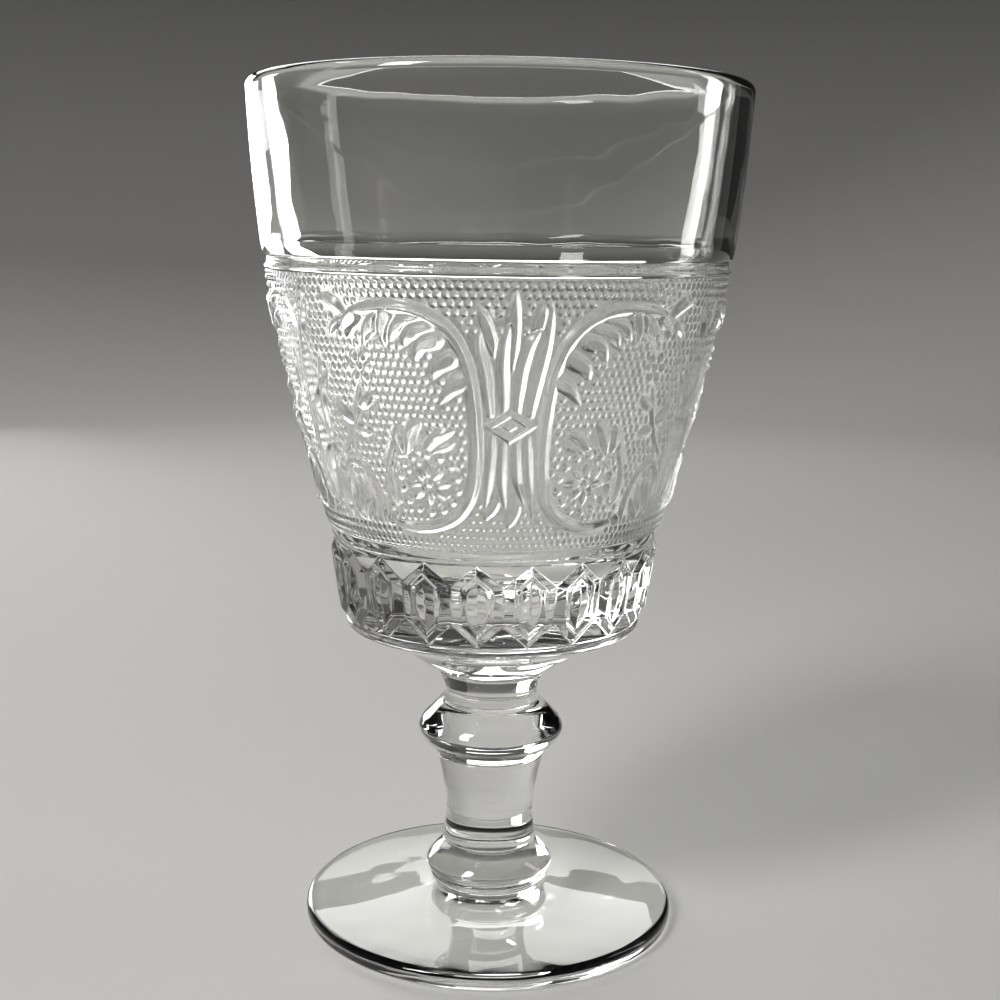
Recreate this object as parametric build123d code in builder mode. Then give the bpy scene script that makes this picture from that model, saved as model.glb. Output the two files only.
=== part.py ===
"""Water goblet of clear pressed glass, in millimetres.

+Z is up. The origin is the centre of the ring that the foot stands on, and -Y is the
side where one of the sheaves of the pressed ornament faces straight out.
"""

import os
from math import cos, radians, sin

from build123d import *

# Foot: a disc with a rounded edge, hollow underneath so that it stands on a ring
foot_diameter = 68.8
foot_edge = 3.0
foot_height = 5.8
foot_edge_round = 1.3
foot_hollow = 0.8
rest_ring = 5.0

# Base collar: a cushion on the foot with a sloping shoulder and one fine groove
collar_seat_diameter = 21.4
collar_diameter = 23.8
collar_height = 8.0
collar_shoulder = 4.0
collar_groove_height = 2.1
collar_groove_width = 0.7
collar_groove_depth = 0.4

# Shank: the waisted grip of the stem
shank_base_diameter = 17.4
shank_waist_diameter = 16.2
shank_top_diameter = 19.6
shank_height = 17.2
shank_waist_height = 7.2

# Knop: the swelling at mid stem, two cones with a rounded edge between them
knop_diameter = 26.8
knop_height = 10.5
knop_edge_height = 3.4
knop_edge_depth = 0.7
knop_crown = 5.0

# Neck: the short throat under the bowl
neck_base_diameter = 18.0
neck_throat_diameter = 17.1
neck_top_diameter = 19.7
neck_height = 5.5
neck_throat_height = 2.1

# Bowl, outside, from the neck up
underside_height = 9.2
underside_diameter = 53.4
underside_flare = 0.8
underside_round = 2.0
diamond_band_height = 17.3
diamond_band_diameter = 58.8
ledge_height = 1.8
ledge_step = 0.5
pattern_height = 44.5
pattern_diameter = 81.4
pattern_swell = 0.6
bead_height = 1.4
bead_depth = 0.4
groove_height = 1.0
groove_depth = 0.4
rim_height = 29.8
rim_base_diameter = 83.0
rim_diameter = 87.9
rim_swell = 0.25

# Bowl, inside
rim_wall = 3.2
ledge_wall = 4.3
inside_swell = 2.4
floor_height = 13.0
cup_bend = 2.7
cup_flat = 12.5

# Pressed ornament on the bowl
relief = 0.7
relief_root = 1.0
diamond_count = 20
diamond_gap = 0.3
diamond_margin = 0.9
diamond_side_share = 0.4
diamond_draft = 1.6
diamond_crest = 0.3
diamond_frame = 0.8
diamond_pocket = 0.45
panel_count = 3
tie_level = 48
tie_width = 8.4
tie_height = 5.6
blade_width = 2.4
lower_blade_width = 1.9
back_blade_width = 2.6
leaf_width = 2.1
leaf_root_share = 0.6
scroll_width = 2.2
stem_width = 1.2
rosette_place = (22.4, 25.6)
rosette_diameter = 9.2
blossom_place = (39.0, 67.6)
blossom_diameter = 6.0
eye_diameter = 1.8
petal_count = 6
petal_diameter = 1.7
lancet_width = 5.0

# Places on the lacy band: degrees round from the sheaf, and height in percent of the band
upper_blades = [
    [(5.0, 52), (5.6, 59), (6.6, 68.5), (7.8, 77.5), (8.1, 87)],
    [(1.6, 53), (1.9, 61), (2.4, 70), (3.0, 78), (3.6, 83.5)],
]
lower_blades = [
    [(4.6, 44), (4.8, 37), (5.5, 28), (7.1, 14)],
    [(1.6, 43), (1.9, 34), (2.2, 26.5), (2.6, 17)],
]
back_blades = [
    [(3.7, 72), (5.7, 81), (7.2, 91)],
    [(2.7, 24), (3.1, 17), (3.4, 10.5)],
]
middle_blade = [(0, 69), (0, 83), (0, 96)]
scroll_line = [
    (33.5, 9.0), (24, 8.5), (14.6, 13.5), (9.6, 27), (8.7, 42),
    (9.9, 64.5), (13.4, 79), (22, 88), (32, 89), (42, 84.5),
]
leaves = [
    [(41, 84.5), (46, 90), (51, 91)],
    [(41.5, 84), (45, 82.5), (47.5, 77.5)],
    [(38.5, 85.5), (40.8, 82.5), (42, 77)],
    [(30.4, 86), (34.5, 81.5), (36.8, 75.5)],
    [(29.6, 86.5), (30.6, 81), (30.7, 75)],
    [(22.5, 84), (26.8, 82.5), (29.6, 77)],
    [(20.1, 81.5), (24.1, 80), (26.1, 75.5)],
    [(18.1, 78), (21.2, 76), (23.5, 70.5)],
    [(14.4, 71.5), (17.6, 69), (19.5, 64)],
    [(11.6, 64), (14.1, 61.5), (18.1, 55)],
    [(29.1, 38), (29.8, 42.5), (29.0, 46.5)],
    [(27.2, 38), (25.9, 44.5), (22.7, 50)],
    [(22.2, 38), (18.8, 43.5), (14.5, 46)],
    [(41.4, 53), (38.6, 57), (35.6, 58.5)],
    [(43.4, 45), (40.4, 46), (37.4, 44)],
    [(43.0, 46.5), (46.0, 53), (49.4, 55)],
    [(46, 8), (43.6, 13), (41.2, 18)],
    [(46, 8), (46, 17), (46, 26.5)],
    [(46, 8), (48.4, 13), (50.8, 18)],
    [(55.2, 49), (53.6, 59), (50.4, 66.5)],
    [(58.0, 76), (57.0, 85), (54.4, 92.5)],
]
stems = [
    [(31, 35.5), (25, 37.5), (21.4, 38), (15.2, 41)],
    [(29.9, 46.5), (33.3, 33), (34.7, 27), (33.4, 17)],
    [(40.0, 60), (41.6, 51), (45.0, 41), (50.4, 33.5)],
    [(38.6, 9), (38.9, 18.5), (41.6, 27.5), (46, 31), (50.4, 27.5), (53.0, 18.5), (53.3, 9)],
    [(55.6, 11.5), (54.8, 33), (55.4, 53), (53.4, 69.5)],
]
lancet = [(60, 12), (60, 48), (60, 83.5)]

# Heights of the joints between the pieces, from the table up
collar_z = foot_height
shank_z = collar_z + collar_height
knop_z = shank_z + shank_height
neck_z = knop_z + knop_height
bowl_z = neck_z + neck_height
diamond_z = bowl_z + underside_height
ledge_z = diamond_z + diamond_band_height
pattern_z = ledge_z + ledge_height
bead_z = pattern_z + pattern_height
groove_z = bead_z + bead_height
rim_z = groove_z + groove_height
top_z = rim_z + rim_height

# Radii that more than one outline uses
pattern_low_radius = diamond_band_diameter / 2 + ledge_step
pattern_top_radius = pattern_diameter / 2
pattern_mid_radius = (pattern_low_radius + pattern_top_radius) / 2 + pattern_swell
diamond_low_radius = underside_diameter / 2
diamond_top_radius = diamond_band_diameter / 2
diamond_mid_radius = (diamond_low_radius + diamond_top_radius) / 2
pattern_mid_z = pattern_z + pattern_height / 2
diamond_mid_z = diamond_z + diamond_band_height / 2

os.makedirs("parts", exist_ok=True)


def finish(piece, name):
    """Label a finished piece and write it as its own file."""
    piece.part.label = name
    export_step(piece.part, f"parts/{name}.step")


def tangent_plane(angle):
    """Upright plane through the axis that faces out at an angle from -Y, with y along +Z."""
    turn = radians(angle)
    return Plane(origin=(0, 0, 0), x_dir=(cos(turn), sin(turn), 0), z_dir=(sin(turn), -cos(turn), 0))


def wall_radius(percent):
    """Radius of the lacy band's ground at a height in percent of the band."""
    share = percent / 100
    taper = pattern_low_radius + share * (pattern_top_radius - pattern_low_radius)
    return taper + 4 * pattern_swell * share * (1 - share)


def wall_height(percent):
    """Height over the table of a place in percent of the lacy band."""
    return pattern_z + percent / 100 * pattern_height


def wall_place(place, facing):
    """Point of a sketch that faces out at an angle, in front of a place on the lacy band."""
    angle, percent = place
    across = wall_radius(percent) * sin(radians(angle - facing))
    return Vector(across, wall_height(percent))


def raised(places, widths):
    """Prism out through the wall: a smooth ribbon along places, with a width at each of them."""
    angles = [angle for angle, percent in places]
    facing = (min(angles) + max(angles)) / 2
    line = [wall_place(place, facing) for place in places]
    left, right = [], []
    for before, point, after, width in zip([line[0], *line], line, [*line[1:], line[-1]], widths):
        along = (after - before).normalized()
        across = Vector(-along.Y, along.X) * (width / 2)
        left.append(point + across)
        right.append(point - across)
    depths = [wall_radius(percent) * cos(radians(angle - facing)) for angle, percent in places]
    near = min(depths) - 2 * relief_root
    with BuildSketch(tangent_plane(facing).offset(near)) as ribbon:
        with BuildLine() as outline:
            Spline(*left)
            Spline(*right)
            for index in (0, -1):
                if widths[index] > 0:
                    Line(left[index], right[index])
        make_face(outline.edges())
    return extrude(ribbon.sketch, amount=max(depths) + 2 * relief - near, mode=Mode.PRIVATE)


def band(places, width):
    """Ribbon of even width."""
    return raised(places, [width] * len(places))


def pointed(places, width):
    """Blade or leaf: narrower at its root, then full, and pointed at its tip."""
    return raised(places, [width * leaf_root_share, *[width] * (len(places) - 2), 0])


def mirrored(places, side):
    """Places on the other side of the sheaf where side is -1, and as they are where it is 1."""
    return [(side * angle, percent) for angle, percent in places]


# Foot
with BuildPart() as foot:
    with BuildSketch(Plane.XZ):
        with BuildLine():
            Polyline(
                (0, foot_hollow),
                (0, foot_height),
                (collar_seat_diameter / 2, foot_height),
                (foot_diameter / 2, foot_edge),
                (foot_diameter / 2, 0),
                (foot_diameter / 2 - rest_ring - foot_edge_round, 0),
            )
            Spline(
                (foot_diameter / 2 - rest_ring - foot_edge_round, 0),
                (0, foot_hollow),
                tangents=[(-foot_diameter, foot_hollow), (-1, 0)],
            )
        make_face()
    revolve(axis=Axis.Z)
    outer_edges = foot.edges().filter_by(GeomType.CIRCLE).filter_by(
        lambda edge: abs(edge.radius - foot_diameter / 2) < foot_edge_round / 2
    )
    fillet(outer_edges, radius=foot_edge_round)
finish(foot, "foot")

# Base collar
with BuildPart() as base_collar:
    groove_z_low = collar_z + collar_groove_height
    groove_radius = (collar_seat_diameter + collar_diameter) / 4
    with BuildSketch(Plane.XZ):
        with BuildLine():
            Polyline(
                (0, collar_z),
                (collar_seat_diameter / 2, collar_z),
                (groove_radius, groove_z_low),
                (groove_radius - collar_groove_depth, groove_z_low + collar_groove_width / 2),
                (groove_radius, groove_z_low + collar_groove_width),
            )
            RadiusArc(
                (groove_radius, groove_z_low + collar_groove_width),
                (collar_diameter / 2, collar_z + collar_shoulder),
                -collar_shoulder,
            )
            Polyline(
                (collar_diameter / 2, collar_z + collar_shoulder),
                (shank_base_diameter / 2, shank_z),
                (0, shank_z),
                (0, collar_z),
            )
        make_face()
    revolve(axis=Axis.Z)
finish(base_collar, "base_collar")

# Shank
with BuildPart() as shank:
    with BuildSketch(Plane.XZ):
        with BuildLine():
            Polyline(
                (shank_base_diameter / 2, shank_z),
                (0, shank_z),
                (0, knop_z),
                (shank_top_diameter / 2, knop_z),
            )
            Spline(
                (shank_base_diameter / 2, shank_z),
                (shank_waist_diameter / 2, shank_z + shank_waist_height),
                (shank_top_diameter / 2, knop_z),
            )
        make_face()
    revolve(axis=Axis.Z)
finish(shank, "shank")

# Knop
with BuildPart() as knop:
    crown_z = knop_z + knop_crown
    edge_radius = knop_diameter / 2 - knop_edge_depth
    with BuildSketch(Plane.XZ):
        with BuildLine():
            Polyline(
                (edge_radius, crown_z - knop_edge_height / 2),
                (shank_top_diameter / 2, knop_z),
                (0, knop_z),
                (0, neck_z),
                (neck_base_diameter / 2, neck_z),
                (edge_radius, crown_z + knop_edge_height / 2),
            )
            ThreePointArc(
                (edge_radius, crown_z - knop_edge_height / 2),
                (knop_diameter / 2, crown_z),
                (edge_radius, crown_z + knop_edge_height / 2),
            )
        make_face()
    revolve(axis=Axis.Z)
finish(knop, "knop")

# Neck
with BuildPart() as neck:
    with BuildSketch(Plane.XZ):
        with BuildLine():
            Polyline(
                (neck_base_diameter / 2, neck_z),
                (0, neck_z),
                (0, bowl_z),
                (neck_top_diameter / 2, bowl_z),
            )
            Spline(
                (neck_base_diameter / 2, neck_z),
                (neck_throat_diameter / 2, neck_z + neck_throat_height),
                (neck_top_diameter / 2, bowl_z),
            )
        make_face()
    revolve(axis=Axis.Z)
finish(neck, "neck")

# One framed lozenge of the diamond band, cut off at its sides and sunk into the wall
with BuildPart() as diamond:
    half_width = diamond_mid_radius * radians(180 / diamond_count) - diamond_gap / 2
    half_height = diamond_band_height / 2 - diamond_margin
    slope = (diamond_top_radius - diamond_low_radius) / diamond_band_height
    wall_plane = Plane(
        origin=(0, -diamond_mid_radius, diamond_mid_z), x_dir=(1, 0, 0), z_dir=(0, -1, -slope)
    )
    frame_loft = ((-relief_root, 0), (relief, diamond_draft))
    pocket_loft = (
        (relief - diamond_pocket, diamond_draft + diamond_frame),
        (relief, diamond_draft + diamond_crest),
    )
    for levels, mode in ((frame_loft, Mode.ADD), (pocket_loft, Mode.SUBTRACT)):
        for depth, shrink in levels:
            width = half_width - shrink
            height = half_height - shrink * half_height / half_width
            side = height * diamond_side_share
            with BuildSketch(wall_plane.offset(depth)):
                with BuildLine():
                    Polyline(
                        (width, side), (0, height), (-width, side),
                        (-width, -side), (0, -height), (width, -side), close=True,
                    )
                make_face()
        loft(mode=mode)

# Ornament of one panel: sheaf, and scroll, leaves and flowers on both sides, cut from a skin over the wall
with BuildPart() as ornament:
    forms = [pointed(middle_blade, back_blade_width), raised(lancet, [0, lancet_width, 0])]
    for side in (-1, 1):
        forms += [pointed(mirrored(places, side), blade_width) for places in upper_blades]
        forms += [pointed(mirrored(places, side), lower_blade_width) for places in lower_blades]
        forms += [pointed(mirrored(places, side), back_blade_width) for places in back_blades]
        forms.append(band(mirrored(scroll_line, side), scroll_width))
        forms += [pointed(mirrored(places, side), leaf_width) for places in leaves]
        forms += [band(mirrored(places, side), stem_width) for places in stems]
    add(forms)
    with BuildSketch(tangent_plane(0).offset(wall_radius(tie_level) - 2 * relief_root)):
        with Locations((0, wall_height(tie_level))):
            Polygon((-tie_width / 2, 0), (0, -tie_height / 2), (tie_width / 2, 0), (0, tie_height / 2))
    for side in (-1, 1):
        for place, diameter in ((rosette_place, rosette_diameter), (blossom_place, blossom_diameter)):
            angle, percent = place
            with BuildSketch(tangent_plane(side * angle).offset(wall_radius(percent) - 2 * relief_root)):
                with Locations((0, wall_height(percent))):
                    Circle(eye_diameter / 2)
                    with PolarLocations(diameter / 3, petal_count):
                        Circle(petal_diameter / 2)
    extrude(amount=4 * relief_root)
    with BuildSketch(Plane.XZ):
        with BuildLine():
            low_in = (pattern_low_radius - relief_root, pattern_z)
            low_out = (pattern_low_radius + relief, pattern_z)
            top_in = (pattern_top_radius - relief_root, bead_z)
            top_out = (pattern_top_radius + relief, bead_z)
            ThreePointArc(low_in, (pattern_mid_radius - relief_root, pattern_mid_z), top_in)
            ThreePointArc(low_out, (pattern_mid_radius + relief, pattern_mid_z), top_out)
            Line(low_in, low_out)
            Line(top_in, top_out)
        make_face()
    revolve(axis=Axis.Z, mode=Mode.INTERSECT)

# Bowl
with BuildPart() as bowl:
    rim_mid_radius = (rim_base_diameter + rim_diameter) / 4 + rim_swell
    lip_z = top_z - rim_wall / 2
    groove_floor = pattern_top_radius - groove_depth + bead_depth
    with BuildSketch(Plane.XZ) as outside:
        with BuildLine():
            underside_mid = (neck_top_diameter + underside_diameter) / 4
            ThreePointArc(
                (neck_top_diameter / 2, bowl_z),
                (underside_mid - underside_flare / 2, bowl_z + underside_height / 2 + underside_flare),
                (diamond_low_radius, diamond_z),
            )
            Polyline(
                (diamond_low_radius, diamond_z),
                (diamond_top_radius, ledge_z),
                (diamond_top_radius, pattern_z - ledge_step),
                (pattern_low_radius, pattern_z),
            )
            ThreePointArc(
                (pattern_low_radius, pattern_z),
                (pattern_mid_radius, pattern_mid_z),
                (pattern_top_radius, bead_z),
            )
            Polyline(
                (pattern_top_radius, bead_z),
                (pattern_top_radius + bead_depth, bead_z + bead_depth),
                (pattern_top_radius + bead_depth, groove_z - groove_depth),
                (groove_floor, groove_z),
                (groove_floor, rim_z),
                (rim_base_diameter / 2, rim_z + groove_depth),
            )
            ThreePointArc(
                (rim_base_diameter / 2, rim_z + groove_depth),
                (rim_mid_radius, (rim_z + lip_z) / 2),
                (rim_diameter / 2, lip_z),
            )
            ThreePointArc(
                (rim_diameter / 2, lip_z),
                (rim_diameter / 2 - rim_wall / 2, top_z),
                (rim_diameter / 2 - rim_wall, lip_z),
            )
            Polyline(
                (rim_diameter / 2 - rim_wall, lip_z),
                (0, lip_z),
                (0, bowl_z),
                (neck_top_diameter / 2, bowl_z),
            )
        make_face()
        corner = outside.vertices().sort_by_distance((diamond_low_radius, diamond_z))[0]
        fillet(corner, radius=underside_round)
    revolve(axis=Axis.Z)
    with PolarLocations(0, diamond_count, start_angle=180 / diamond_count):
        add(diamond.part)
    with PolarLocations(0, panel_count):
        add(ornament.part)
    with BuildSketch(Plane.XZ):
        floor_z = bowl_z + floor_height
        inside_low = (diamond_top_radius - ledge_wall, ledge_z)
        inside_top = (rim_diameter / 2 - rim_wall, lip_z)
        inside_mid = ((inside_low[0] + inside_top[0]) / 2 + inside_swell, (inside_low[1] + inside_top[1]) / 2)
        with BuildLine():
            wall_line = ThreePointArc(inside_top, inside_mid, inside_low)
            below_wall = (wall_line @ 1) + (wall_line % 1) * cup_bend
            Bezier(inside_low, below_wall, (cup_flat, floor_z), (0, floor_z))
            Polyline((0, floor_z), (0, top_z), (inside_top[0], top_z), inside_top)
        make_face()
    revolve(axis=Axis.Z, mode=Mode.SUBTRACT)
finish(bowl, "bowl")
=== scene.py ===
"""Water goblet of clear pressed glass: its surfaces, finish, light and camera.

Lengths are millimetres until a mesh is made, and metres in the materials, the studio and its lamps.
Angles are degrees. +Z is up, and one sheaf of the pressed ornament faces -Y.
"""

import bpy
import numpy as np
from mathutils import Matrix, Vector


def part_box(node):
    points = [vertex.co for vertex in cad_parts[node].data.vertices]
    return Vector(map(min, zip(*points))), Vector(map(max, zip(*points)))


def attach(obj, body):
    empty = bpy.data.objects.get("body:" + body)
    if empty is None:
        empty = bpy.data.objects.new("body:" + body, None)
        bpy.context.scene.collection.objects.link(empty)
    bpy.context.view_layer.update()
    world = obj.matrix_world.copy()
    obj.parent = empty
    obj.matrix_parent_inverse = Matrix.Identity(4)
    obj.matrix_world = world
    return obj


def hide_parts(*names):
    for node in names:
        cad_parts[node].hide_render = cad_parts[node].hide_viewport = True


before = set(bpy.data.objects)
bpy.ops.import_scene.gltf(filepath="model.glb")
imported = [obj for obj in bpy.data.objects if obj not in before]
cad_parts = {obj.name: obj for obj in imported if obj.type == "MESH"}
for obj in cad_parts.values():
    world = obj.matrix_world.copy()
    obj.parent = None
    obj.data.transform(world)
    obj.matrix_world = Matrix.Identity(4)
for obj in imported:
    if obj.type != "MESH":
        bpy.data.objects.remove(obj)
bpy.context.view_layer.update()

MM = 0.001


def top_of(node_name):
    """Largest radius and highest level of a node, in millimetres."""
    low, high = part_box(node_name)
    return high[0] / MM, high[2] / MM


# Radii of the pieces and levels of the joints between them, from the frame
FOOT_RADIUS, FOOT_TOP = top_of("foot")
COLLAR_RADIUS, COLLAR_TOP = top_of("base_collar")
SHANK_TOP_RADIUS, SHANK_TOP = top_of("shank")
KNOP_RADIUS, KNOP_TOP = top_of("knop")
NECK_TOP_RADIUS, NECK_TOP = top_of("neck")
RIM_RADIUS, RIM_TOP = top_of("bowl")

# Foot and stem
FOOT_EDGE = 3.0
FOOT_ROUND = 1.3
FOOT_HOLLOW = 0.8
REST_RING = 5.0
REST_RING_STEP = 0.4
COLLAR_SEAT_RADIUS = 10.7
FOOT_RISE_REACH = 6.0
FOOT_RISE = 0.9
FOOT_RISE_MIDDLE_REACH = 2.0
FOOT_RISE_MIDDLE = 0.4
COLLAR_SHOULDER = 4.0
COLLAR_SHOULDER_LOW = 0.5
COLLAR_SHOULDER_HIGH = 0.4
COLLAR_SHOULDER_STEP = 0.2
COLLAR_GROOVE_UP = 2.1
COLLAR_GROOVE_WIDTH = 0.7
COLLAR_GROOVE_DEPTH = 0.4
COLLAR_GROOVE_LIP = 0.15
COLLAR_ROUNDS = [0, 0.35, 0.15, 0.3, 0.5, 0.5, 0]
SHANK_BASE_RADIUS = 8.7
SHANK_WAIST_RADIUS = 8.1
SHANK_WAIST_UP = 7.2
KNOP_CROWN = 5.0
KNOP_EDGE_HEIGHT = 3.4
KNOP_EDGE_DEPTH = 0.7
NECK_BASE_RADIUS = 9.0
NECK_THROAT_RADIUS = 8.55
NECK_THROAT_UP = 2.1
CREASE = 0.25
CAP_RIM_SHARE = 0.97

# Bowl, outside
DIAMOND_Z = NECK_TOP + 9.2
DIAMOND_LOW_RADIUS = 26.7
DIAMOND_TOP_RADIUS = 29.4
UNDERSIDE_MIDDLE_RADIUS = 17.9
UNDERSIDE_MIDDLE_UP = 5.4
UNDERSIDE_EDGE_IN = 1.9
UNDERSIDE_EDGE_DROP = 0.8
UNDERSIDE_ROUND = 2.0
CORNER_BULGE = 0.2
CORNER_HEIGHT = 1.3
SEAM = 0.1
LEDGE_Z = DIAMOND_Z + 17.3
LEDGE_STEP = 0.5
LEDGE_FOOT_DROP = 0.7
LEDGE_EDGE_DROP = 0.3
LEDGE_BULGE = 0.05
BAND_Z = LEDGE_Z + 1.8
BAND_HEIGHT = 44.5
BAND_LOW_RADIUS = DIAMOND_TOP_RADIUS + LEDGE_STEP
BAND_TOP_RADIUS = 40.7
BAND_SWELL = 0.6
BAND_CORE = 1.3
BEAD_Z = BAND_Z + BAND_HEIGHT
BEAD = 0.4
GROOVE_Z = BEAD_Z + 1.4
GROOVE = 0.4
PLAIN_Z = GROOVE_Z + 1.0
PLAIN_RADIUS = 41.5
PLAIN_SWELL = 0.25

# Bowl, inside
RIM_WALL = 3.2
LIP_Z = RIM_TOP - RIM_WALL / 2
LEDGE_WALL = 4.3
INSIDE_SWELL = 2.4
FLOOR_Z = NECK_TOP + 13.0
CUP_BEND = 2.7
CUP_FLAT = 12.5

# Diamond band
DIAMOND_COUNT = 20
DIAMOND_MARGIN = 1.7
DIAMOND_TOP_MARGIN = 0.8
FACET = 0.95
DIAMOND_SINK = 0.25

# One diamond, as shares: how far in its bevel, frame and field reach, and how high the field lies
BEVEL_END = 0.22
FRAME_END = 0.26
FIELD_START = 0.36
FIELD = 0.35
PYRAMID_PEAK = 1.1
PYRAMID_REACH = 0.6

# Lacy band: its stipple, then the heights, slopes, crests and widths of its ornament
PANELS = 3
DOT_PITCH = 2.0
DOT_ROWS = 33
DOT = 0.3
DOT_FALL_ACROSS = 1.2
DOT_FALL_UP = 1.1
DOT_CLEAR = 0.4
FAR = 99.0
ORNAMENT = 0.85
LOW_ORNAMENT = 0.55
SLOPE = 0.9
STEEP = 1.2
UNDERCUT = 0.3
CREST = 0.35
SHARP_CREST = 0.1
FRINGE_WIDTH = 3.4
SCROLL_WIDTH = 2.4
CRESCENT_WIDTH = 2.4
ARCH_WIDTH = 1.4
STALK_WIDTH = 1.2
RAY_WIDTH = 1.9
SIDE_LEAF_WIDTH = 2.2
LANCET_WIDTH = 5.2
LANCET_HEIGHT = 1.0
LANCET_SLOPE = 0.5
BLADE_WIDTH = 2.4
LOWER_BLADE_WIDTH = 1.9
BACK_BLADE_WIDTH = 2.6

# Tie of the sheaf: its place and size, and the steps of its diamond from the middle out
TIE_LEVEL = 96.6
TIE_HALF_WIDTH = 4.2
TIE_HALF_HEIGHT = 2.8
TIE_END = 1.12
TIE_SHARES = [0, 0.18, 0.3, 0.55, 0.68, 0.8, 0.98, TIE_END]
TIE_STEPS = [0.9, 0.9, 0.3, 0.3, 1.15, 1.15, 0.3, 0]

# Fineness of the meshes: columns round the goblet, columns and rows of one dot, rows of one diamond
PLAIN_COLUMNS = 200
DIAMOND_ROWS = 72
DIAMOND_SIDE_COLUMNS = 20
DIAMOND_COLUMNS = DIAMOND_COUNT * DIAMOND_SIDE_COLUMNS * 2
DOT_COLUMN_STEPS = 8
DOT_ROW_STEPS = 6
PANEL_COLUMNS = round(360 / PANELS / DOT_PITCH) * DOT_COLUMN_STEPS
PANEL_ROWS = DOT_ROWS * DOT_ROW_STEPS
CORE_COLUMNS = PANEL_COLUMNS // 8
CORE_ROWS = PANEL_ROWS // 18
FORM_STEPS = 41

# Finishes: their numbers on a mesh, the glass's own values, and the paints of the studio
GLASS, JOINT = 0, 1
GLASS_IOR = 1.52
WAVE_STRENGTH = 0.35
CLEAR_TINT = (0.985, 0.985, 0.975, 1)
GREENER_TINT = (0.955, 0.965, 0.945, 1)
SHADOW_TINT = (0.50, 0.505, 0.49, 1)
FLOOR_PAINT = (0.66, 0.65, 0.63, 1)
WALL_PAINT = (0.20, 0.20, 0.195, 1)
FLAG_PAINT = (0.02, 0.02, 0.02, 1)
ROOM_COLOUR = (0.03, 0.03, 0.03, 1)
MATT = 0.9
GLASS_BOUNCES = 32


# Outlines, as rows of (radius, height)

def through(points, count):
    """Smooth curve through points: on each span a Catmull-Rom cubic, with the ends carried on straight."""
    points = np.asarray(points, float)
    padded = np.vstack([2 * points[0] - points[1], points, 2 * points[-1] - points[-2]])
    place = np.linspace(0, len(points) - 1, count)
    span = np.minimum(place.astype(int), len(points) - 2)
    t = (place - span)[:, None]
    before, start, end, after = (padded[span + k] for k in range(4))
    return 0.5 * (
        2 * start
        + (end - before) * t
        + (2 * before - 5 * start + 4 * end - after) * t**2
        + (3 * start - before - 3 * end + after) * t**3
    )


def straight(start, end, count):
    """Evenly spaced points from start to end."""
    t = np.linspace(0, 1, count)[:, None]
    return (1 - t) * np.asarray(start, float) + t * np.asarray(end, float)


def bowed(start, end, swell, count):
    """Straight run with a parabola of height swell added to its radius."""
    run = straight(start, end, count)
    t = np.linspace(0, 1, count)
    run[:, 0] += 4 * swell * t * (1 - t)
    return run


def held(holds, count):
    """Cubic curve from the first of four holds to the last, which starts and ends towards the other two."""
    t = np.linspace(0, 1, count)[:, None]
    weights = np.hstack([(1 - t) ** 3, 3 * t * (1 - t) ** 2, 3 * t**2 * (1 - t), t**3])
    return weights @ np.asarray(holds, float)


def rounded(corners, cuts, count):
    """Run through corners, each inner corner replaced by a quadratic curve that begins one cut before it."""
    corners = np.asarray(corners, float)
    cuts = np.broadcast_to(cuts, len(corners))
    t = np.linspace(0, 1, count)[:, None]
    rows = [corners[:1]]
    for before, corner, after, cut in zip(corners, corners[1:], corners[2:], cuts[1:]):
        back, ahead = before - corner, after - corner
        start = corner + back * min(0.5, cut / np.linalg.norm(back))
        end = corner + ahead * min(0.5, cut / np.linalg.norm(ahead))
        rows.append((1 - t) ** 2 * start + 2 * t * (1 - t) * corner + t**2 * end)
    rows.append(corners[-1:])
    return np.vstack(rows)


# Surfaces, as grids of points that are sewn into closed skins

def turned_grid(radius, height, degrees):
    """Grid of points from radius and height at each angle, counted from the -Y side towards +X."""
    turn = np.radians(degrees) - np.pi / 2
    radius, height, turn = np.broadcast_arrays(radius, height, turn)
    return np.stack([radius * np.cos(turn), radius * np.sin(turn), height], -1)


def lathe(outline, columns):
    """Grid of points: each outline point (radius, height) carried round a full circle."""
    outline = np.asarray(outline, float)
    return turned_grid(outline[:, :1], outline[:, 1:], np.linspace(0, 360, columns, endpoint=False))


def pole(height):
    """Single point on the axis, which closes a skin."""
    return np.array([[[0, 0, height]]], float)


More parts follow.
